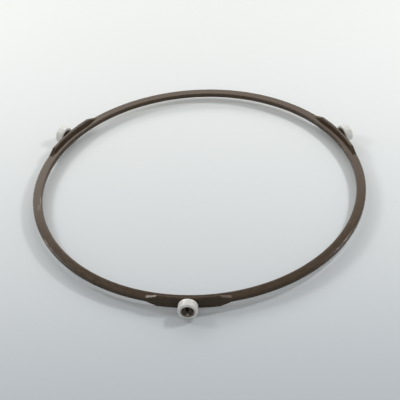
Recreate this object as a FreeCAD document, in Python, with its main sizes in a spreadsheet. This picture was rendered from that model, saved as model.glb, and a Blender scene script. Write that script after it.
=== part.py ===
import FreeCAD, Part
import Sketcher
import math
import os

# Roller ring that carries the glass tray of a microwave oven, in millimetres.
# The origin is the ring's centre in the plane of the roller axles, +Z is up,
# and the first roller station is at the front, on -Y.

SIZES = [
    ("ring_dia", 256.0, "outside diameter of the flat band"),
    ("band_width", 7.1, "radial width of the band"),
    ("band_thick", 3.5, "height of the band"),
    ("band_round", 0.6, "rounding of the band's long edges"),
    ("wall_thick", 2.4, "radial thickness of the wall at its rim"),
    ("wall_lean", 0.8, "extra thickness of the wall at its foot, where its inner face leans in"),
    ("wall_rise", 2.8, "height of the wall above and below the band"),
    ("wall_round", 0.6, "rounding of the outer edge of the wall's rim"),
    ("wall_crest", 44.6, "length of the wall at its full height"),
    ("ramp_run", 7.75, "length of each sloping end of the wall, down to the band"),
    ("roller_dia", 14.0, "outside diameter of a roller"),
    ("roller_width", 6.3, "width of a roller"),
    ("roller_round", 0.5, "rounding of a roller's outer edges"),
    ("roller_gap", 1.8, "space between the wall and a roller"),
    ("web_thick", 2.4, "thickness of the roller's web, which runs on the axle"),
    ("recess_dia", 9.2, "diameter of the recess in each face of a roller"),
    ("recess_chamfer", 0.45, "chamfer at the mouth of each recess"),
    ("axle_dia", 5.6, "diameter of a stub axle"),
    ("axle_clearance", 0.08, "radial running clearance of a roller on its axle"),
    ("side_clearance", 0.25, "play between a roller's web and its boss or head"),
    ("boss_clearance", 0.5, "radial clearance of the boss at an axle's root in the roller's recess"),
    ("head_clearance", 0.7, "radial clearance of the split head that holds a roller on, in its recess"),
    ("head_nose", 0.4, "chamfer on the nose of the head"),
    ("head_inset", 0.1, "depth of the head's end behind the roller's face"),
    ("slot_width", 1.9, "width of the slot that splits the axle and its head"),
]

STATIONS = ["roller_front", "roller_rear_right", "roller_rear_left"]
FULL_TURN = 360.0


class Size:
    """A size that carries its formula, for binding, and its value, for the first drawing."""

    def __init__(self, formula, value):
        self.formula = formula
        self.value = value

    def joined(self, sign, other, value):
        return Size("(%s %s %s)" % (self.formula, sign, as_size(other).formula), value)

    def __add__(self, other):
        return self.joined("+", other, self.value + as_size(other).value)

    def __sub__(self, other):
        return self.joined("-", other, self.value - as_size(other).value)

    def __mul__(self, other):
        return self.joined("*", other, self.value * as_size(other).value)

    def __truediv__(self, other):
        return self.joined("/", other, self.value / as_size(other).value)

    def __neg__(self):
        return Size("(-%s)" % self.formula, -self.value)


def as_size(thing):
    return thing if isinstance(thing, Size) else Size(repr(thing), float(thing))


def make_sheet(doc):
    """Write every driving size to the sheet and return them by name."""
    sheet = doc.addObject("Spreadsheet::Sheet", "Sizes")
    sizes = {}
    for row, (name, value, note) in enumerate(SIZES, start=1):
        sheet.set("A%d" % row, note)
        sheet.set("B%d" % row, str(value))
        sheet.setAlias("B%d" % row, name)
        sizes[name] = Size("Sizes.%s" % name, value)
    doc.recompute()
    return sizes


def bind(feature, prop, size):
    feature.setExpression(prop, size.formula)


def origin_feature(body, role):
    return [item for item in body.Origin.OriginFeatures if item.Role == role][0]


def new_sketch(body, name, plane):
    sketch = body.newObject("Sketcher::SketchObject", name)
    sketch.AttachmentSupport = [(origin_feature(body, plane), "")]
    sketch.MapMode = "FlatFace"
    return sketch


def hold_point(sketch, line, end, x, y):
    """Tie one end of a line to the sketch's axes, or to its distances from them."""
    for kind, size, axis in (("DistanceX", x, -2), ("DistanceY", y, -1)):
        if size.value == 0.0:
            sketch.addConstraint(Sketcher.Constraint("PointOnObject", line, end, axis))
            continue
        index = sketch.addConstraint(Sketcher.Constraint(kind, line, end, size.value))
        sketch.setExpression("Constraints[%d]" % index, size.formula)


def step_from(corner, towards, radius):
    """The point one radius away from a corner, along an edge that is level or upright."""
    x, y = corner[0], corner[1]
    run = towards[0].value - x.value
    climb = towards[1].value - y.value
    if abs(run) > abs(climb):
        return (x + radius if run > 0 else x - radius, y)
    return (x, y + radius if climb > 0 else y - radius)


def draw_outline(sketch, corners):
    """Draw a closed outline, anticlockwise. A corner is x, y and, if it is rounded, its radius."""
    count = len(corners)
    entries = []
    exits = []
    for i, corner in enumerate(corners):
        rounded = len(corner) == 3
        entries.append(step_from(corner, corners[i - 1], corner[2]) if rounded else corner)
        exits.append(step_from(corner, corners[(i + 1) % count], corner[2]) if rounded else corner)
    for i in range(count):
        start, end = exits[i], entries[(i + 1) % count]
        sketch.addGeometry(Part.LineSegment(
            FreeCAD.Vector(start[0].value, start[1].value, 0),
            FreeCAD.Vector(end[0].value, end[1].value, 0)), False)
    for i, corner in enumerate(corners):
        before = (i - 1) % count
        if len(corner) == 3:
            round_corner(sketch, before, i, corner, entries[i], exits[i])
            hold_point(sketch, before, 2, entries[i][0], entries[i][1])
        else:
            sketch.addConstraint(Sketcher.Constraint("Coincident", before, 2, i, 1))
        hold_point(sketch, i, 1, exits[i][0], exits[i][1])


def round_corner(sketch, before, after, corner, entry, leave):
    """Join two lines that meet at a right angle by a quarter circle."""
    radius = corner[2]
    centre = FreeCAD.Vector(
        entry[0].value + leave[0].value - corner[0].value,
        entry[1].value + leave[1].value - corner[1].value, 0)
    first = math.atan2(entry[1].value - centre.y, entry[0].value - centre.x)
    circle = Part.Circle(centre, FreeCAD.Vector(0, 0, 1), radius.value)
    arc = sketch.addGeometry(Part.ArcOfCircle(circle, first, first + math.pi / 2), False)
    sketch.addConstraint(Sketcher.Constraint("Coincident", before, 2, arc, 1))
    sketch.addConstraint(Sketcher.Constraint("Coincident", arc, 2, after, 1))
    index = sketch.addConstraint(Sketcher.Constraint("Radius", arc, radius.value))
    sketch.setExpression("Constraints[%d]" % index, radius.formula)


def turn(body, name, sketch, axis, angle=None):
    """Revolve a sketch about one of its own axes, all round or by an angle across its plane."""
    feature = body.newObject("PartDesign::Revolution", name)
    feature.Profile = sketch
    feature.ReferenceAxis = (sketch, [axis])
    feature.Angle = FULL_TURN
    if angle is not None:
        feature.Midplane = True
        bind(feature, "Angle", angle)
    return feature


def pocket(doc, body, name, sketch, depth):
    """Cut a sketch outwards, towards the front station, and check that it took material away."""
    doc.recompute()
    before = body.Shape.Volume
    feature = body.newObject("PartDesign::Pocket", name)
    feature.Profile = sketch
    feature.Type = "Length"
    feature.Reversed = True
    bind(feature, "Length", depth)
    doc.recompute()
    if feature.Shape.Volume >= before:
        raise RuntimeError("%s cut nothing" % name)
    return feature


def station_sizes(size):
    """Distances from the ring's axis along a station, shared by the ring and its rollers."""
    wall_face = size["ring_dia"] / 2
    roller_inner = wall_face + size["roller_gap"]
    roller_outer = roller_inner + size["roller_width"]
    recess_depth = (size["roller_width"] - size["web_thick"]) / 2
    return {
        "wall_face": wall_face,
        "roller_inner": roller_inner,
        "roller_outer": roller_outer,
        "web_inner": roller_inner + recess_depth,
        "web_outer": roller_outer - recess_depth,
    }


def draw_wall(doc, body, size, place):
    """One station's wall: an arc of plate on the band's outer edge, trimmed to its sloping ends."""
    outer = place["wall_face"]
    rim = outer - size["wall_thick"]
    foot = rim - size["wall_lean"]
    half_band = size["band_thick"] / 2
    half_wall = half_band + size["wall_rise"]
    edge = size["wall_round"]
    crest = size["wall_crest"] / 2
    tip = crest + size["ramp_run"] * half_wall / size["wall_rise"]
    spare = size["ramp_run"] / 2
    centre = Size("0", 0.0)

    section = new_sketch(body, "WallSection", "YZ_Plane")
    draw_outline(section, [
        (-foot, -half_band), (-foot, half_band), (-rim, half_wall),
        (-outer, half_wall, edge), (-outer, -half_wall, edge), (-rim, -half_wall)])
    reach = tip + spare
    angle = Size("2 * asin(%s / %s)" % (reach.formula, foot.formula),
                 2 * math.degrees(math.asin(reach.value / foot.value)))
    arc = turn(body, "WallArc", section, "V_Axis", angle)

    # Each slope runs on through the band to a tip at its mid-height.
    above = half_wall + size["wall_rise"]
    beyond = reach + spare
    ends = new_sketch(body, "WallEnds", "XZ_Plane")
    draw_outline(ends, [
        (crest, half_wall), (tip, centre), (crest, -half_wall),
        (crest, -above), (beyond, -above), (beyond, above), (crest, above)])
    mirrored = new_sketch(body, "WallEndsMirrored", "XZ_Plane")
    draw_outline(mirrored, [
        (-crest, above), (-beyond, above), (-beyond, -above), (-crest, -above),
        (-crest, -half_wall), (-tip, centre), (-crest, half_wall)])
    depth = outer + size["wall_thick"]
    return [
        arc,
        pocket(doc, body, "WallTrim", ends, depth),
        pocket(doc, body, "WallTrimMirrored", mirrored, depth),
    ]


def draw_stub(doc, body, size, place):
    """One station's boss, axle and snap-in head, split by an upright slot so that it can flex."""
    root = place["wall_face"] - size["wall_thick"] / 2
    boss_end = place["web_inner"] - size["side_clearance"]
    head_start = place["web_outer"] + size["side_clearance"]
    head_end = place["roller_outer"] - size["head_inset"]
    recess = size["recess_dia"] / 2
    boss = recess - size["boss_clearance"]
    axle = size["axle_dia"] / 2
    head = recess - size["head_clearance"]
    nose = size["head_nose"]
    centre = Size("0", 0.0)

    section = new_sketch(body, "StubSection", "YZ_Plane")
    draw_outline(section, [
        (-root, centre), (-root, boss), (-boss_end, boss), (-boss_end, axle),
        (-head_start, axle), (-head_start, head), (-(head_end - nose), head),
        (-head_end, head - nose), (-head_end, centre)])
    stub = turn(body, "Stub", section, "H_Axis")

    half_slot = size["slot_width"] / 2
    split = new_sketch(body, "SlotSection", "XZ_Plane")
    split.setExpression("AttachmentOffset.Base.z", boss_end.formula)
    draw_outline(split, [
        (half_slot, -recess), (half_slot, recess), (-half_slot, recess), (-half_slot, -recess)])
    slot = pocket(doc, body, "Slot", split, head_end - boss_end + size["head_nose"])
    return [stub, slot]


def make_ring(doc, size, place):
    """The one-piece moulding: three stations set round the band."""
    body = doc.addObject("PartDesign::Body", "Ring")
    body.Label = "ring"
    station = draw_wall(doc, body, size, place) + draw_stub(doc, body, size, place)

    pattern = body.newObject("PartDesign::PolarPattern", "Stations")
    pattern.Originals = station
    pattern.Axis = (origin_feature(body, "Z_Axis"), [""])
    pattern.Angle = FULL_TURN
    pattern.Occurrences = len(STATIONS)
    body.Tip = pattern
    doc.recompute()

    outer = place["wall_face"]
    inner = outer - size["band_width"]
    half_band = size["band_thick"] / 2
    edge = size["band_round"]
    section = new_sketch(body, "BandSection", "YZ_Plane")
    draw_outline(section, [
        (-inner, -half_band, edge), (-inner, half_band, edge),
        (-outer, half_band, edge), (-outer, -half_band, edge)])
    turn(body, "Band", section, "V_Axis")
    return body


def make_roller(doc, size, place, label, degrees):
    """A roller with the same recess in both faces, drawn at the front and turned to its station."""
    body = doc.addObject("PartDesign::Body", label)
    body.Label = label
    bore = size["axle_dia"] / 2 + size["axle_clearance"]
    recess = size["recess_dia"] / 2
    chamfer = size["recess_chamfer"]
    rim = size["roller_dia"] / 2
    edge = size["roller_round"]
    inner, outer = place["roller_inner"], place["roller_outer"]
    web_inner, web_outer = place["web_inner"], place["web_outer"]

    section = new_sketch(body, "RollerSection", "YZ_Plane")
    draw_outline(section, [
        (-web_inner, bore), (-web_inner, recess), (-(inner + chamfer), recess),
        (-inner, recess + chamfer), (-inner, rim, edge), (-outer, rim, edge),
        (-outer, recess + chamfer), (-(outer - chamfer), recess), (-web_outer, recess),
        (-web_outer, bore)])
    turn(body, "RollerTurned", section, "H_Axis")
    body.Placement = FreeCAD.Placement(
        FreeCAD.Vector(0, 0, 0), FreeCAD.Rotation(FreeCAD.Vector(0, 0, 1), degrees))
    return body


def check(doc, bodies):
    """Stop if a feature failed or a piece is not one valid solid."""
    for item in doc.Objects:
        if "Invalid" in item.State or "Error" in item.State:
            raise RuntimeError("%s failed: %s" % (item.Label, item.State))
    for body in bodies:
        shape = body.Shape
        if shape.isNull() or not shape.isValid() or len(shape.Solids) != 1:
            raise RuntimeError("%s is not one valid solid" % body.Label)


def main():
    doc = FreeCAD.newDocument("RollerRing")
    size = make_sheet(doc)
    place = station_sizes(size)
    bodies = [make_ring(doc, size, place)]
    for index, label in enumerate(STATIONS):
        bodies.append(make_roller(doc, size, place, label, index * FULL_TURN / len(STATIONS)))
    doc.recompute()
    check(doc, bodies)
    os.makedirs("parts", exist_ok=True)
    for body in bodies:
        body.Shape.exportStep("parts/%s.step" % body.Label)
        print("%s: %.1f mm3" % (body.Label, body.Shape.Volume))


main()
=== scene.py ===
import bmesh
import bpy
import math
from mathutils import Matrix, Vector


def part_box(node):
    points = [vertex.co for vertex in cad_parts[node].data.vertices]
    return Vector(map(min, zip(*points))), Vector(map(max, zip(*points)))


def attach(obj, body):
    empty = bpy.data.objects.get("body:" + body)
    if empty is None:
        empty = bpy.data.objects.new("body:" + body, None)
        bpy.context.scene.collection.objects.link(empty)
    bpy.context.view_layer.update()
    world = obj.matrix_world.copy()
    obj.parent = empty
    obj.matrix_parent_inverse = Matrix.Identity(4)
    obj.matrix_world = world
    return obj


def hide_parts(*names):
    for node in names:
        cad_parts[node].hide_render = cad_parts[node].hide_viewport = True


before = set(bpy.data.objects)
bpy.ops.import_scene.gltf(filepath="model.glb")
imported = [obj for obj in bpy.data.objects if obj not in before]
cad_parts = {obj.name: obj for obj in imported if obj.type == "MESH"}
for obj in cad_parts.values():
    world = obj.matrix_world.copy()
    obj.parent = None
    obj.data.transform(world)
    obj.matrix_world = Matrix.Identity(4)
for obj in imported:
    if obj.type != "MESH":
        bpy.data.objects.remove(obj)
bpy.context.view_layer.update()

# A microwave oven's roller ring: one brown moulding and its white rollers, on a pale floor.
# Lengths are in metres. The ring's axis is Z, and the front roller is on -Y.

MM = 0.001


def colour(red, green, blue):
    """An opaque colour, from linear shares of red, green and blue."""
    return (red, green, blue, 1.0)


# Sizes that the frame gives
ring_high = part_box("ring")[1]
roller_low, roller_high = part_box("roller_front")
RING_RADIUS = ring_high.y
WALL_HALF = ring_high.z
ROLLER_RADIUS = roller_high.z
ROLLER_INNER = -roller_high.y
ROLLER_OUTER = -roller_low.y
FLOOR_HEIGHT = roller_low.z

# Sizes of the moulding
BAND_WIDTH = 7.1 * MM
BAND_HALF = 1.75 * MM
BAND_ROUND = 0.6 * MM
WALL_THICK = 2.4 * MM
WALL_LEAN = 0.8 * MM
WALL_CREST = 44.6 * MM
WALL_ROUND = 0.6 * MM
RIM_EASE = 0.3 * MM
FOOT_FILLET = 0.2 * MM
LOWEST_WALL = 0.02 * MM
RAMP_RUN = 7.75 * MM

# A low wall's fillet and its easing each take at most one part in this many of its height
LOW_WALL_PARTS = 3

# On the band's rounded edge, a ramp runs out at this angle in degrees above level,
# and at most this share of the room outside its end is rounded off
RAMP_END = 35.0
RAMP_END_ROUND = 0.9

# Sizes of a roller and of the stub that it turns on
WEB_THICK = 2.4 * MM
RECESS_RADIUS = 4.6 * MM
RECESS_CHAMFER = 0.45 * MM
RECESS_FILLET = 0.3 * MM
BORE_EASE = RECESS_FILLET / 2
CHAMFER_MARGIN = RECESS_FILLET / 3
ROLLER_ROUND = 0.5 * MM
AXLE_RADIUS = 2.8 * MM
AXLE_CLEARANCE = 0.08 * MM
SIDE_CLEARANCE = 0.25 * MM
BOSS_RADIUS = 4.1 * MM
BOSS_ROUND = 0.3 * MM
HEAD_RADIUS = 3.9 * MM
HEAD_NOSE = 0.4 * MM
HEAD_INSET = 0.1 * MM
SLOT_WIDTH = 1.9 * MM

# Directions of the stations, in degrees about the ring's axis from +X
STATIONS = {"roller_front": -90.0, "roller_rear_right": 30.0, "roller_rear_left": 150.0}

# How finely the round shapes are divided
RING_STEPS = 480
RAMP_STEPS = 40
TURN_STEPS = 96
PRONG_STEPS = TURN_STEPS // 3
ARC_STEPS = 6

# Points added along flat faces: the band's top and its outer face, a roller's ends and its tread
TOP_POINTS = 3
SIDE_POINTS = 2
END_POINTS = 2
TREAD_POINTS = 3

# Sections of the ring stand at least this far apart, in degrees
FINEST_STEP = 0.01

# Edges that turn by more than this are shaded as sharp ones
SHARP_ANGLE = math.radians(40.0)

# The camera, as fitted to the photograph. The width of its sensor is in millimetres.
FRAME_PIXELS = 400.0
FOCAL_PIXELS = 1142.35
SENSOR_WIDTH = 36.0
CLIP_START = 0.01
CLIP_END = 50.0
CAMERA_AIM = Vector((0.0, 0.0, 1.7 * MM))
CAMERA_AZIMUTH = math.radians(5.67)
CAMERA_ELEVATION = math.radians(39.191)
CAMERA_DISTANCE = 882.18 * MM
CAMERA_PAN = math.radians(0.0134)
CAMERA_TILT = math.radians(-0.8125)
CAMERA_ROLL = math.radians(3.848)

# Soft lights: azimuth and elevation in degrees, distance, width, height, brightness and colour
PLAIN_LIGHT = (1.0, 1.0, 1.0)
WARM_LIGHT = (1.0, 0.92, 0.87)
PANELS = {
    "panel_back": (96.0, 31.5, 1.5, 2.2, 0.54, 1.56, WARM_LIGHT),
    "panel_back_left": (110.0, 36.6, 1.5, 0.26, 0.19, 1.1, PLAIN_LIGHT),
    "panel_left_rear": (128.0, 28.0, 1.2, 0.32, 0.3, 3.6, PLAIN_LIGHT),
    "panel_left": (165.0, 39.0, 0.7, 0.18, 0.15, 11.5, PLAIN_LIGHT),
    "panel_right": (20.0, 45.0, 0.7, 0.1, 0.09, 47.5, PLAIN_LIGHT),
}

# Brightness and colour of the light from all round
GLOW = 0.46
GLOW_COLOUR = colour(1.0, 1.0, 1.0)

# A warm pale backdrop that only reflections show: its colour, its top and how soft that is, as sines
BACKDROP = colour(1.0, 0.85, 0.69)
BACKDROP_TOP = math.sin(math.radians(42.5))
BACKDROP_SOFT = 0.025

# The floor's colour holds painted shade: it is darkest in front of the ring, and grows paler along the view
# and far from the ring
FLOOR_HALF = 4.0
FLOOR_NEAR = colour(0.449, 0.503, 0.568)
FLOOR_FAR = colour(0.918, 0.947, 0.926)
FLOOR_BLEND_START = -0.194
FLOOR_BLEND_LENGTH = 0.519
FLOOR_BLEND_LEAST = 0.02
FLOOR_BLEND_SOFT = 0.25
FLOOR_BLEND_POWER = 0.378
FLOOR_FADE_FROM = 0.36
FLOOR_FADE_TO = 0.62
FLOOR_ROUGHNESS = 0.7
FLOOR_SPECULAR = 0.1

# Colours of the plastics, of the places where the brown is rubbed or carries painted highlights, and of the
# dirt and painted shade on the rollers
BROWN_DARK = colour(0.0385, 0.0222, 0.0092)
BROWN_LIGHT = colour(0.046, 0.0271, 0.0117)
BROWN_MOTTLE = colour(0.033, 0.019, 0.0083)
BROWN_RUBBED_AND_LIT = colour(0.30, 0.25, 0.205)
WHITE_DULL = colour(0.70, 0.698, 0.67)
WHITE_CLEAN = colour(0.75, 0.75, 0.724)
WHITE_WORN = colour(0.60, 0.59, 0.555)
ROLLER_DIRT_AND_SHADE = colour(0.16, 0.125, 0.085)

# Patterns of noise: scale, detail, and the values of the noise at which they are at their least and full
RING_CLOUDS = (38.0, 4.0, 0.3, 0.7)
RING_MOTTLE = (420.0, 3.0, 0.3, 0.7)
RING_PATCHES = (300.0, 4.0, 0.42, 0.68)
ROLLER_CLOUDS = (260.0, 4.0, 0.3, 0.7)
ROLLER_PATCHES = (500.0, 3.0, 0.25, 0.6)

# Streaks round an axis: how fast they change round it and across it, the scale of their noise,
# and the values of the noise that become 0 and 1
RING_STREAKS = (0.25, 14.0, 110.0, 0.35, 0.7)
ROLLER_STREAKS = (0.01, 6.0, 420.0, 0.45, 0.75)
STREAK_DETAIL = 3.0

# Fine grain: scale and detail of its noise, the streaks' share in it, and its strength and depth as bump
RING_GRAIN = (2600.0, 2.0, 0.3, 0.07, 0.05 * MM)
ROLLER_GRAIN = (3200.0, 2.0, 0.4, 0.1, 0.04 * MM)

# How much of each pattern shows in the brown plastic, and how its skin shines
MOTTLE_SHARE = 0.35
RING_STREAK_SHARE = 0.06
EDGE_RUB = 0.15
BROWN_SMOOTHEST = 0.14
BROWN_ROUGHEST = 0.20
WORN_ROUGHER = 0.12
BROWN_SPECULAR = 0.3

# Streaks break up a scuff or a painted highlight: how strong it is where there is none, and the streak at
# which it is full
MARK_LEAST = 0.3
MARK_FULL = 0.8

# How much of the wear shows in the white plastic, how its skin shines and how far light goes into it
ROLLER_STREAK_SHARE = 0.25
WHITE_SMOOTHEST = 0.27
WHITE_ROUGHEST = 0.37
WHITE_DEPTH_SHARE = 0.6
WHITE_DEPTH_COLOURS = (1.0, 0.95, 0.85)
WHITE_DEPTH = 2.0 * MM

# Darkening on a roller: how far below the end face that of the mouth begins and is full, how far inside
# the mouth it is full, how far inside the recess's wall the painted shade on the web and in the bore begins
# and is full, and its least strength where it is patchy
MOUTH_DARK_BELOW_FACE = (2.0 * RECESS_CHAMFER, 0.5 * RECESS_CHAMFER)
MOUTH_DARK_IN_MOUTH = 0.3 * RECESS_CHAMFER
SHADE_IN_RECESS = (0.5 * RECESS_CHAMFER, 1.5 * RECESS_CHAMFER)
DARK_LEAST = 0.55

# Rubbed places and painted highlights on top of the ring: azimuth in degrees, radius, half length, half width
# and strength
RUBS_AND_HIGHLIGHTS = {
    "left": (193.0, 123.6 * MM, 4.5 * MM, 1.8 * MM, 0.5),
    "left_edge": (189.5, 122.2 * MM, 7.5 * MM, 0.7 * MM, 0.85),
    # a thin lighter line on the band's inner edge
    "right_edge": (21.0, 121.3 * MM, 9.0 * MM, 0.35 * MM, 0.6),
    # painted highlight: a faint light line along the band's inner edge at the rear
    "rear_highlight": (98.0, 122.0 * MM, 30.0 * MM, 0.5 * MM, 0.18),
    # a small lighter spot on the band's inner edge
    "front": (267.0, 121.3 * MM, 1.2 * MM, 0.6 * MM, 0.35),
    # painted highlights: thin light lines on the band's rounded outer edge, where lamps would glint
    "right_rim_highlight": (331.5, 127.4 * MM, 12.0 * MM, 0.55 * MM, 1.0),
    "left_rim_highlight": (213.0, 127.55 * MM, 11.0 * MM, 0.45 * MM, 1.0),
}

# A scuff or a painted highlight is full over this share of its reach, from this height up,
# and from this far out on its own side of the axis
MARK_CORE = 0.2
MARK_HEIGHT = 0.5 * BAND_HALF
MARK_SIDE = 0.1 * RING_RADIUS

# Share of an edge's rounding, next to the face, over which the edge is fully rubbed
EDGE_CORE = 0.3


def arc(centre, radius, first, last, steps=ARC_STEPS):
    """Points of an arc, from one angle in degrees to another, both ends included."""
    points = []
    for step in range(steps + 1):
        angle = math.radians(first + (last - first) * step / steps)
        points.append((centre[0] + radius * math.cos(angle), centre[1] + radius * math.sin(angle)))
    return points


def between(start, end, count):
    """Points spaced evenly between two others, which are left out."""
    points = []
    for step in range(1, count + 1):
        share = step / (count + 1)
        points.append((start[0] + (end[0] - start[0]) * share, start[1] + (end[1] - start[1]) * share))
    return points


def ramp_height(distance):
    """Height of the wall's rim at a distance along the station.

    Past a ramp's foot it falls on below the band.
    """
    slope = (WALL_HALF - BAND_HALF) / RAMP_RUN
    return min(WALL_HALF, WALL_HALF - slope * (abs(distance) - WALL_CREST / 2))


def wall_points(top):
    """Inner face and rim of a wall that stands up to a height, from its foot to its outer face."""
    rise = top - BAND_HALF
    foot = RING_RADIUS - WALL_THICK - WALL_LEAN
    rim = foot + WALL_LEAN * rise / (WALL_HALF - BAND_HALF)
    fillet = min(FOOT_FILLET, rise / LOW_WALL_PARTS)
    ease = min(RIM_EASE, rise / LOW_WALL_PARTS)
    points = arc((foot - fillet, BAND_HALF + fillet), fillet, -90, 0)
    points += arc((rim + ease, top - ease), ease, 180, 90)
    return points + arc((RING_RADIUS - WALL_ROUND, top - WALL_ROUND), WALL_ROUND, 90, 0)


def edge_points(top):
    """The band's rounded outer edge, filled up to the height of a ramp that runs out on it.

    It has as many points as a wall, so that neighbouring sections can be joined.
    """
    centre = (RING_RADIUS - BAND_ROUND, BAND_HALF - BAND_ROUND)
    share = min(1.0, max(0.0, (top - centre[1]) / BAND_ROUND))
    level = max(RAMP_END, math.degrees(math.asin(share)))
    points = arc(centre, BAND_ROUND, 90, level, 2 * ARC_STEPS + 1)
    if level == RAMP_END:
        return points + arc(centre, BAND_ROUND, level * ARC_STEPS / (ARC_STEPS + 1), 0)
    radius, height = points[-1]
    ease = min(WALL_ROUND, RAMP_END_ROUND * (RING_RADIUS - radius))
    return points + arc((RING_RADIUS - ease, height - ease), ease, 90, 0)


def upper_section(top):
    """Upper half of the moulding's section, from its inner edge to its outer face, as (radius, height)."""
    inner = RING_RADIUS - BAND_WIDTH
    points = [(inner, 0.0)]
    points += arc((inner + BAND_ROUND, BAND_HALF - BAND_ROUND), BAND_ROUND, 180, 90)
    outer = wall_points(top) if top > BAND_HALF + LOWEST_WALL else edge_points(top)
    points += between(points[-1], outer[0], TOP_POINTS) + outer
    return points + between(points[-1], (RING_RADIUS, 0.0), SIDE_POINTS) + [(RING_RADIUS, 0.0)]


def full_section(top):
    """The whole section, closed, with the lower half a mirror of the upper one."""
    upper = upper_section(top)
    lower = [(radius, -height) for radius, height in reversed(upper[1:-1])]
    return upper + lower


def join_rows(mesh, rows, closed):
    """Join rows of vertices, each a closed loop, by faces. A closed set of rows meets itself again."""
    count = len(rows[0])
    pairs = zip(rows, rows[1:] + rows[:1]) if closed else zip(rows, rows[1:])
    for first, second in pairs:
        for i in range(count):
            j = (i + 1) % count
            mesh.faces.new((first[i], first[j], second[j], second[i]))


def close_ends(mesh, rows):
    """Shut both ends of an open set of rows with flat faces."""
    mesh.faces.new(rows[0])
    mesh.faces.new(rows[-1])


def station_distance(angle):
    """Distance along the tangent from the nearest station, for a direction in degrees."""
    turns = [(angle - station + 180.0) % 360.0 - 180.0 for station in STATIONS.values()]
    nearest = min(turns, key=abs)
    return RING_RADIUS * math.sin(math.radians(nearest))


def ring_angles():
    """Directions of the sections round the ring, in degrees, closer together along the ramps."""
    angles = [360.0 * step / RING_STEPS for step in range(RING_STEPS)]
    fall = RAMP_RUN * WALL_HALF / (WALL_HALF - BAND_HALF)
    for station in STATIONS.values():
        for step in range(RAMP_STEPS + 1):
            turn = math.degrees(math.asin((WALL_CREST / 2 + fall * step / RAMP_STEPS) / RING_RADIUS))
            angles += [(station + turn) % 360.0, (station - turn) % 360.0]
    angles.sort()
    return [angle for angle, after in zip(angles, angles[1:] + [360.0]) if after - angle > FINEST_STEP]


def moulding_band():
    """The band with its walls, swept once round the axis."""
    mesh = bmesh.new()
    rows = []
    for angle in ring_angles():
        turn = math.radians(angle)
        section = full_section(ramp_height(station_distance(angle)))
        rows.append([mesh.verts.new((r * math.cos(turn), r * math.sin(turn), z)) for r, z in section])
    join_rows(mesh, rows, closed=True)
    return mesh


def turned(profile, closed=True):
    """A shape turned about local Z from (radius, height) points. An open profile gets flat ends."""
    mesh = bmesh.new()
    rows = []
    for radius, height in profile:
        row = []
        for step in range(TURN_STEPS):
            turn = 2 * math.pi * step / TURN_STEPS
            row.append(mesh.verts.new((radius * math.cos(turn), radius * math.sin(turn), height)))
        rows.append(row)
    join_rows(mesh, rows, closed)
    if not closed:
        close_ends(mesh, rows)
    return mesh


def stub_places():
    """Distances from the ring's axis at which the boss ends and the head begins and ends."""
    recess_depth = (ROLLER_OUTER - ROLLER_INNER - WEB_THICK) / 2
    boss_end = ROLLER_INNER + recess_depth - SIDE_CLEARANCE
    head_start = ROLLER_OUTER - recess_depth + SIDE_CLEARANCE
    head_end = ROLLER_OUTER - HEAD_INSET
    return boss_end, head_start, head_end


def boss():
    """The boss at the root of an axle, along local Z from inside the wall."""
    boss_end = stub_places()[0]
    root = RING_RADIUS - WALL_THICK / 2
    face = RING_RADIUS
    fillet = arc((BOSS_RADIUS + BOSS_ROUND, face + BOSS_ROUND), BOSS_ROUND, 270, 180)
    end = arc((BOSS_RADIUS - BOSS_ROUND, boss_end - BOSS_ROUND), BOSS_ROUND, 0, 90)
    start = [(BOSS_RADIUS + BOSS_ROUND, root)]
    return turned(start + fillet + end, closed=False)


def prong(side):
    """One half of the split axle and its head, along local Z. The slot stands upright, across local X."""
    boss_end, head_start, head_end = stub_places()
    nose = arc((HEAD_RADIUS - HEAD_NOSE, head_end - HEAD_NOSE), HEAD_NOSE, 0, 90)
    root = boss_end - SIDE_CLEARANCE
    profile = [(AXLE_RADIUS, root), (AXLE_RADIUS, head_start)]
    profile += [(HEAD_RADIUS - SIDE_CLEARANCE, head_start), (HEAD_RADIUS, head_start + SIDE_CLEARANCE)] + nose
    mesh = bmesh.new()
    rows = []
    half_slot = SLOT_WIDTH / 2
    for radius, height in profile:
        reach = math.degrees(math.acos(half_slot / radius))
        row = arc((0.0, 0.0), radius, -reach, reach, PRONG_STEPS)
        row += between(row[-1], row[0], ARC_STEPS)
        rows.append([mesh.verts.new((side * x, y, height)) for x, y in row])
    join_rows(mesh, rows, closed=False)
    close_ends(mesh, rows)
    return mesh


def roller_shape():
    """A roller about local Z, with its middle at the origin and the same recess in both faces."""
    half = (ROLLER_OUTER - ROLLER_INNER) / 2
    bore = AXLE_RADIUS + AXLE_CLEARANCE
    web = WEB_THICK / 2
    mouth = RECESS_RADIUS + RECESS_CHAMFER
    tread = (ROLLER_RADIUS - ROLLER_ROUND, half - ROLLER_ROUND)
    upper = [(bore, web - BORE_EASE), (bore + BORE_EASE, web)]
    upper += arc((RECESS_RADIUS - RECESS_FILLET, web + RECESS_FILLET), RECESS_FILLET, -90, 0)
    upper += [(RECESS_RADIUS, half - RECESS_CHAMFER - CHAMFER_MARGIN)]
    upper += arc((mouth, half - RECESS_CHAMFER), RECESS_CHAMFER, 180, 90)
    upper += between(upper[-1], (tread[0], half), END_POINTS)
    upper += arc(tread, ROLLER_ROUND, 90, 0)
    lower = [(radius, -height) for radius, height in reversed(upper)]
    return turned(upper + between(upper[-1], lower[0], TREAD_POINTS) + lower)


def place_at(station):
    """The turn that stands local Z out along a station, with local X along the tangent and local Y up."""
    turn = math.radians(STATIONS[station])
    outward = Vector((math.cos(turn), math.sin(turn), 0.0))
    up = Vector((0.0, 0.0, 1.0))
    tangent = up.cross(outward)
    return Matrix((tangent, up, outward)).transposed().to_4x4()


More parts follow.
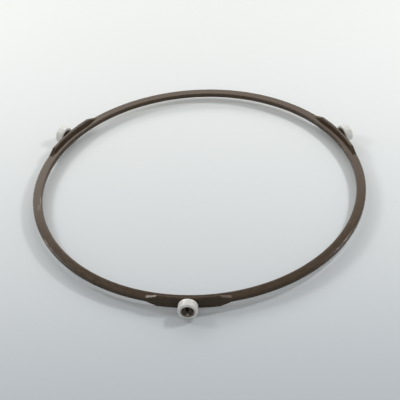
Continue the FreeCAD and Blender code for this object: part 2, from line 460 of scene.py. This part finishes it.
def finish_mesh(name, mesh, material):
    """Turn a finished shape into a piece, shaded smooth up to its sharp edges."""
    bmesh.ops.recalc_face_normals(mesh, faces=mesh.faces)
    data = bpy.data.meshes.new(name)
    mesh.to_mesh(data)
    mesh.free()
    data.shade_smooth()
    data.set_sharp_from_angle(angle=SHARP_ANGLE)
    piece = bpy.data.objects.new(name, data)
    bpy.context.scene.collection.objects.link(piece)
    data.materials.append(material)
    return piece


def unite(piece, others):
    """Make several closed shapes one shape, and take the others away."""
    for other in others:
        joint = piece.modifiers.new("unite", "BOOLEAN")
        joint.operation = "UNION"
        joint.solver = "EXACT"
        joint.object = other
    graph = bpy.context.evaluated_depsgraph_get()
    whole = bpy.data.meshes.new_from_object(piece.evaluated_get(graph))
    piece.modifiers.clear()
    piece.data = whole
    for other in others:
        bpy.data.objects.remove(other)


class Shader:
    """The nodes of a material or of the world, with short ways to add and join them."""

    def __init__(self, owner, last):
        owner.use_nodes = True
        self.owner = owner
        self.tree = owner.node_tree
        self.surface = self.tree.nodes[last]

    def set(self, socket, value):
        """Give a socket a plain value, or join another socket to it."""
        if isinstance(value, bpy.types.NodeSocket):
            self.tree.links.new(value, socket)
        elif value is not None:
            socket.default_value = value

    def give(self, name, value):
        """Set an input of the last node, the one that makes the surface or the background."""
        self.set(self.surface.inputs[name], value)

    def add(self, kind, inputs=None, **settings):
        """A new node, with its settings made and its inputs set or joined."""
        node = self.tree.nodes.new("ShaderNode" + kind)
        for name, value in settings.items():
            setattr(node, name, value)
        for name, value in (inputs or {}).items():
            self.set(node.inputs[name], value)
        return node

    def math(self, operation, first, second=None, third=None, clamp=False):
        """A sum on plain values. Clamped, it stays from 0 to 1."""
        inputs = {0: first, 1: second, 2: third}
        return self.add("Math", inputs, operation=operation, use_clamp=clamp).outputs[0]

    def times(self, first, second):
        """The product of two plain values."""
        return self.math("MULTIPLY", first, second)

    def vector(self, operation, first, second=None):
        """A sum on vectors that gives a vector."""
        return self.add("VectorMath", {0: first, 1: second}, operation=operation).outputs["Vector"]

    def scaled(self, vector, factor):
        """A vector made longer or shorter by a factor."""
        return self.add("VectorMath", {0: vector, "Scale": factor}, operation="SCALE").outputs["Vector"]

    def measure(self, operation, first, second=None):
        """A sum on vectors that gives a plain value."""
        return self.add("VectorMath", {0: first, 1: second}, operation=operation).outputs["Value"]

    def noise(self, place, scale, detail):
        """Smooth noise, with values about 0.5."""
        return self.add("TexNoise", {"Vector": place, "Scale": scale, "Detail": detail}).outputs["Fac"]

    def spread(self, value, low, high, new_low=0.0, new_high=1.0):
        """Spread the values between two others smoothly over a new range, and hold them at its ends."""
        inputs = {"Value": value, "From Min": low, "From Max": high, "To Min": new_low, "To Max": new_high}
        return self.add("MapRange", inputs, interpolation_type="SMOOTHSTEP").outputs["Result"]

    def mix(self, share, first, second):
        """A share of the second colour in the first. A mix of colours uses inputs 0, 6 and 7 and output 2."""
        return self.add("Mix", {0: share, 6: first, 7: second}, data_type="RGBA").outputs[2]


def new_material(name):
    """The nodes of a new material."""
    return Shader(bpy.data.materials.new(name), "Principled BSDF")


def around_axis(shader, place):
    """Distance from local Z, height along it, the direction outward, and a vector across the streaks.

    The last one changes along the radius and along Z, but not round the axis, so streaks have no seam.
    """
    level = shader.vector("MULTIPLY", place, (1.0, 1.0, 0.0))
    radius = shader.measure("LENGTH", level)
    ahead = shader.vector("NORMALIZE", level)
    height = shader.add("SeparateXYZ", {0: place}).outputs["Z"]
    across = shader.add("CombineXYZ", {"Z": shader.math("ADD", radius, height)}).outputs[0]
    return radius, height, ahead, across


def pattern(shader, place, scale, detail, low, high, least=0.0):
    """Noise with more contrast, from the least value to 1."""
    return shader.spread(shader.noise(place, scale, detail), low, high, least, 1.0)


def streaks(shader, ahead, across, round_rate, cross_rate, scale, low, high):
    """Noise that is drawn out round the axis, as it changes slowly that way and fast across it."""
    place = shader.vector("ADD", shader.scaled(ahead, round_rate), shader.scaled(across, cross_rate))
    return pattern(shader, place, scale, STREAK_DETAIL, low, high)


def grain(shader, place, streak, scale, detail, streak_share, strength, depth):
    """Bump from fine noise and from streaks."""
    fine = shader.noise(place, scale, detail)
    height = shader.math("ADD", fine, shader.times(streak, streak_share))
    bump = shader.add("Bump", {"Height": height, "Strength": strength, "Distance": depth})
    shader.give("Normal", bump.outputs[0])


def near(shader, value, middle, reach):
    """1 where a value is close to the middle, falling to 0 at the reach on either side."""
    gap = shader.math("ABSOLUTE", shader.math("SUBTRACT", value, middle))
    return shader.spread(gap, reach, MARK_CORE * reach)


def rub_and_highlight_mask(shader, place, radius, height):
    """Where the top of the ring is rubbed, and where thin painted highlights lie on its edges."""
    whole = None
    top = shader.spread(height, 0.0, MARK_HEIGHT)
    for azimuth, distance, half_length, half_width, strength in RUBS_AND_HIGHLIGHTS.values():
        turn = math.radians(azimuth)
        along = shader.measure("DOT_PRODUCT", place, (-math.sin(turn), math.cos(turn), 0.0))
        side = shader.measure("DOT_PRODUCT", place, (math.cos(turn), math.sin(turn), 0.0))
        mark = shader.times(near(shader, along, 0.0, half_length), near(shader, radius, distance, half_width))
        mark = shader.times(mark, shader.spread(side, 0.0, MARK_SIDE, 0.0, strength))
        whole = mark if whole is None else shader.math("MAXIMUM", whole, mark)
    return shader.times(whole, top)


def edge_mask(shader, radius, height):
    """The ring's exposed edges: the outer edge of the walls' rims and the inner edge of the band."""
    lift = shader.math("ABSOLUTE", height)
    rim = shader.times(shader.spread(lift, WALL_HALF - WALL_ROUND, WALL_HALF),
                       shader.spread(radius, RING_RADIUS - WALL_ROUND, RING_RADIUS - EDGE_CORE * WALL_ROUND))
    inner = RING_RADIUS - BAND_WIDTH
    brow = shader.times(shader.spread(lift, BAND_HALF - BAND_ROUND, BAND_HALF - EDGE_CORE * BAND_ROUND),
                        shader.spread(radius, inner + BAND_ROUND, inner + EDGE_CORE * BAND_ROUND))
    return shader.math("MAXIMUM", rim, brow)


def brown_plastic():
    """Dark brown moulded plastic: satin skin, faint streaks round the ring, rubbed edges, a few scuffs and a
    few painted highlights.
    """
    shader = new_material("brown_plastic")
    place = shader.add("TexCoord").outputs["Object"]
    radius, height, ahead, across = around_axis(shader, place)
    clouds = pattern(shader, place, *RING_CLOUDS)
    mottle = pattern(shader, place, *RING_MOTTLE)
    streak = streaks(shader, ahead, across, *RING_STREAKS)
    base = shader.mix(clouds, BROWN_DARK, BROWN_LIGHT)
    base = shader.mix(shader.times(mottle, MOTTLE_SHARE), base, BROWN_MOTTLE)
    base = shader.mix(shader.times(streak, RING_STREAK_SHARE), base, BROWN_RUBBED_AND_LIT)
    patchy = pattern(shader, place, *RING_PATCHES)
    rubbed = shader.times(edge_mask(shader, radius, height), shader.times(patchy, EDGE_RUB))
    broken = shader.spread(streak, 0.0, MARK_FULL, MARK_LEAST, 1.0)
    # the rubbed colour here also paints thin highlight lines on the band's edges
    scuffed_and_highlit = shader.times(rub_and_highlight_mask(shader, place, radius, height), broken)
    worn_and_highlit = shader.math("MAXIMUM", rubbed, scuffed_and_highlit)
    shader.give("Base Color", shader.mix(worn_and_highlit, base, BROWN_RUBBED_AND_LIT))
    rough = shader.spread(streak, 0.0, 1.0, BROWN_SMOOTHEST, BROWN_ROUGHEST)
    shader.give("Roughness", shader.math("ADD", rough, shader.times(worn_and_highlit, WORN_ROUGHER)))
    shader.give("Specular IOR Level", BROWN_SPECULAR)
    grain(shader, place, streak, *RING_GRAIN)
    return shader.owner


def dirt_and_shade_mask(shader, place, radius, height):
    """Where a roller is darker: a ring at the mouths of its recesses, and painted shade on its web and in its
    bore.
    """
    mouth = RECESS_RADIUS + RECESS_CHAMFER
    face = (ROLLER_OUTER - ROLLER_INNER) / 2
    starts, ends = MOUTH_DARK_BELOW_FACE
    lip = shader.spread(shader.math("ABSOLUTE", height), face - starts, face - ends)
    mouth_darkening = shader.times(shader.spread(radius, mouth, mouth - MOUTH_DARK_IN_MOUTH), lip)
    starts, ends = SHADE_IN_RECESS
    # painted shade deep in the recess: on the web and in the bore
    painted_shade_inside = shader.spread(radius, RECESS_RADIUS - starts, RECESS_RADIUS - ends)
    patchy = pattern(shader, place, *ROLLER_PATCHES, least=DARK_LEAST)
    return shader.times(shader.math("MAXIMUM", mouth_darkening, painted_shade_inside), patchy)


def white_plastic():
    """White roller plastic that lets a little light in, with faint streaks of wear, a darker ring at each
    mouth, and brown painted shade on its web and in its bore.
    """
    shader = new_material("white_plastic")
    place = shader.add("TexCoord").outputs["Object"]
    radius, height, ahead, across = around_axis(shader, place)
    clouds = pattern(shader, place, *ROLLER_CLOUDS)
    streak = streaks(shader, ahead, across, *ROLLER_STREAKS)
    base = shader.mix(clouds, WHITE_DULL, WHITE_CLEAN)
    base = shader.mix(shader.times(streak, ROLLER_STREAK_SHARE), base, WHITE_WORN)
    shader.give("Base Color", shader.mix(dirt_and_shade_mask(shader, place, radius, height), base, ROLLER_DIRT_AND_SHADE))
    shader.give("Roughness", shader.spread(streak, 0.0, 1.0, WHITE_SMOOTHEST, WHITE_ROUGHEST))
    shader.give("Subsurface Weight", WHITE_DEPTH_SHARE)
    shader.give("Subsurface Radius", WHITE_DEPTH_COLOURS)
    shader.give("Subsurface Scale", WHITE_DEPTH)
    grain(shader, place, streak, *ROLLER_GRAIN)
    return shader.owner


def make_ring(material):
    """The one-piece moulding, which stands for the ring's solid."""
    ring = finish_mesh("ring_moulding", moulding_band(), material)
    stubs = []
    for station in STATIONS:
        for shape in (boss(), prong(1), prong(-1)):
            part = finish_mesh("stub", shape, material)
            part.data.transform(place_at(station))
            stubs.append(part)
    unite(ring, stubs)
    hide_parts("ring")
    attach(ring, "ring")


def make_rollers(material):
    """The rollers, each turning with its own body."""
    middle = (ROLLER_INNER + ROLLER_OUTER) / 2
    for station in STATIONS:
        piece = finish_mesh(station + "_wheel", roller_shape(), material)
        piece.matrix_world = place_at(station) @ Matrix.Translation((0.0, 0.0, middle))
        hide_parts(station)
        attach(piece, station)


def swing(first, second, angle):
    """Turn two directions that stand square to each other by an angle in their plane."""
    return (first * math.cos(angle) - second * math.sin(angle),
            first * math.sin(angle) + second * math.cos(angle))


def camera_matrix():
    """Where the camera stands and how it looks: at the ring's centre, then panned, tilted and rolled."""
    level = math.cos(CAMERA_ELEVATION)
    back = Vector((math.sin(CAMERA_AZIMUTH) * level,
                   -math.cos(CAMERA_AZIMUTH) * level,
                   math.sin(CAMERA_ELEVATION)))
    spot = CAMERA_AIM + back * CAMERA_DISTANCE
    ahead = -back
    right = ahead.cross(Vector((0.0, 0.0, 1.0))).normalized()
    up = right.cross(ahead)
    right, ahead = swing(right, ahead, CAMERA_PAN)
    up, ahead = swing(up, ahead, CAMERA_TILT)
    right, up = swing(right, up, CAMERA_ROLL)
    turn = Matrix((right, up, -ahead)).transposed().to_4x4()
    return Matrix.Translation(spot) @ turn


def make_camera():
    """The camera that sees the ring as the photograph does."""
    data = bpy.data.cameras.new("camera")
    data.sensor_width = SENSOR_WIDTH
    data.lens = SENSOR_WIDTH * FOCAL_PIXELS / FRAME_PIXELS
    data.clip_start = CLIP_START
    data.clip_end = CLIP_END
    camera = bpy.data.objects.new("camera", data)
    bpy.context.scene.collection.objects.link(camera)
    camera.matrix_world = camera_matrix()
    bpy.context.scene.camera = camera


def make_floor():
    """A pale floor, with painted shade that darkens it in front of the ring."""
    shader = new_material("floor")
    place = shader.add("TexCoord").outputs["Object"]
    away = (-math.sin(CAMERA_AZIMUTH), math.cos(CAMERA_AZIMUTH), 0.0)
    depth = shader.math("SUBTRACT", shader.measure("DOT_PRODUCT", place, away), FLOOR_BLEND_START)
    share = shader.math("DIVIDE", depth, FLOOR_BLEND_LENGTH)
    share = shader.math("SMOOTH_MAX", share, FLOOR_BLEND_LEAST, FLOOR_BLEND_SOFT, clamp=True)
    # painted shade: the floor's colour darkens towards the front
    tone = shader.mix(shader.math("POWER", share, FLOOR_BLEND_POWER), FLOOR_NEAR, FLOOR_FAR)
    outside = shader.spread(shader.measure("LENGTH", place), FLOOR_FADE_FROM, FLOOR_FADE_TO)
    shader.give("Base Color", shader.mix(outside, tone, FLOOR_FAR))
    shader.give("Roughness", FLOOR_ROUGHNESS)
    shader.give("Specular IOR Level", FLOOR_SPECULAR)
    mesh = bmesh.new()
    bmesh.ops.create_grid(mesh, x_segments=1, y_segments=1, size=FLOOR_HALF)
    floor = finish_mesh("floor", mesh, shader.owner)
    floor.location.z = FLOOR_HEIGHT


def make_panel(name, azimuth, elevation, distance, width, height, brightness, tint):
    """A soft rectangular light that faces the ring's centre. Angles are in degrees, the azimuth from +X."""
    data = bpy.data.lights.new(name, "AREA")
    data.shape = "RECTANGLE"
    data.size = width
    data.size_y = height
    data.energy = math.pi * width * height * brightness
    data.color = tint
    panel = bpy.data.objects.new(name, data)
    bpy.context.scene.collection.objects.link(panel)
    level = math.cos(math.radians(elevation))
    towards = Vector((math.cos(math.radians(azimuth)) * level,
                      math.sin(math.radians(azimuth)) * level,
                      math.sin(math.radians(elevation))))
    panel.location = towards * distance
    panel.rotation_euler = (-towards).to_track_quat("-Z", "Y").to_euler()
    panel.visible_camera = False


def make_light():
    """Soft panels and an even glow all round. The camera sees white, and reflections show the backdrop."""
    world = bpy.data.worlds.new("world")
    bpy.context.scene.world = world
    shader = Shader(world, "Background")
    path = shader.add("LightPath")
    towards = shader.add("TexCoord").outputs["Generated"]
    height = shader.add("SeparateXYZ", {0: towards}).outputs["Z"]
    backdrop = shader.spread(height, BACKDROP_TOP + BACKDROP_SOFT, BACKDROP_TOP - BACKDROP_SOFT)
    mirrored = shader.times(path.outputs["Is Glossy Ray"], backdrop)
    seen = shader.math("MAXIMUM", path.outputs["Is Camera Ray"], mirrored)
    shader.give("Strength", shader.spread(seen, 0.0, 1.0, GLOW, 1.0))
    shader.give("Color", shader.mix(mirrored, GLOW_COLOUR, BACKDROP))
    for name, panel in PANELS.items():
        make_panel(name, *panel)


bpy.context.scene.view_settings.view_transform = "Standard"
make_ring(brown_plastic())
make_rollers(white_plastic())
make_floor()
make_light()
make_camera()
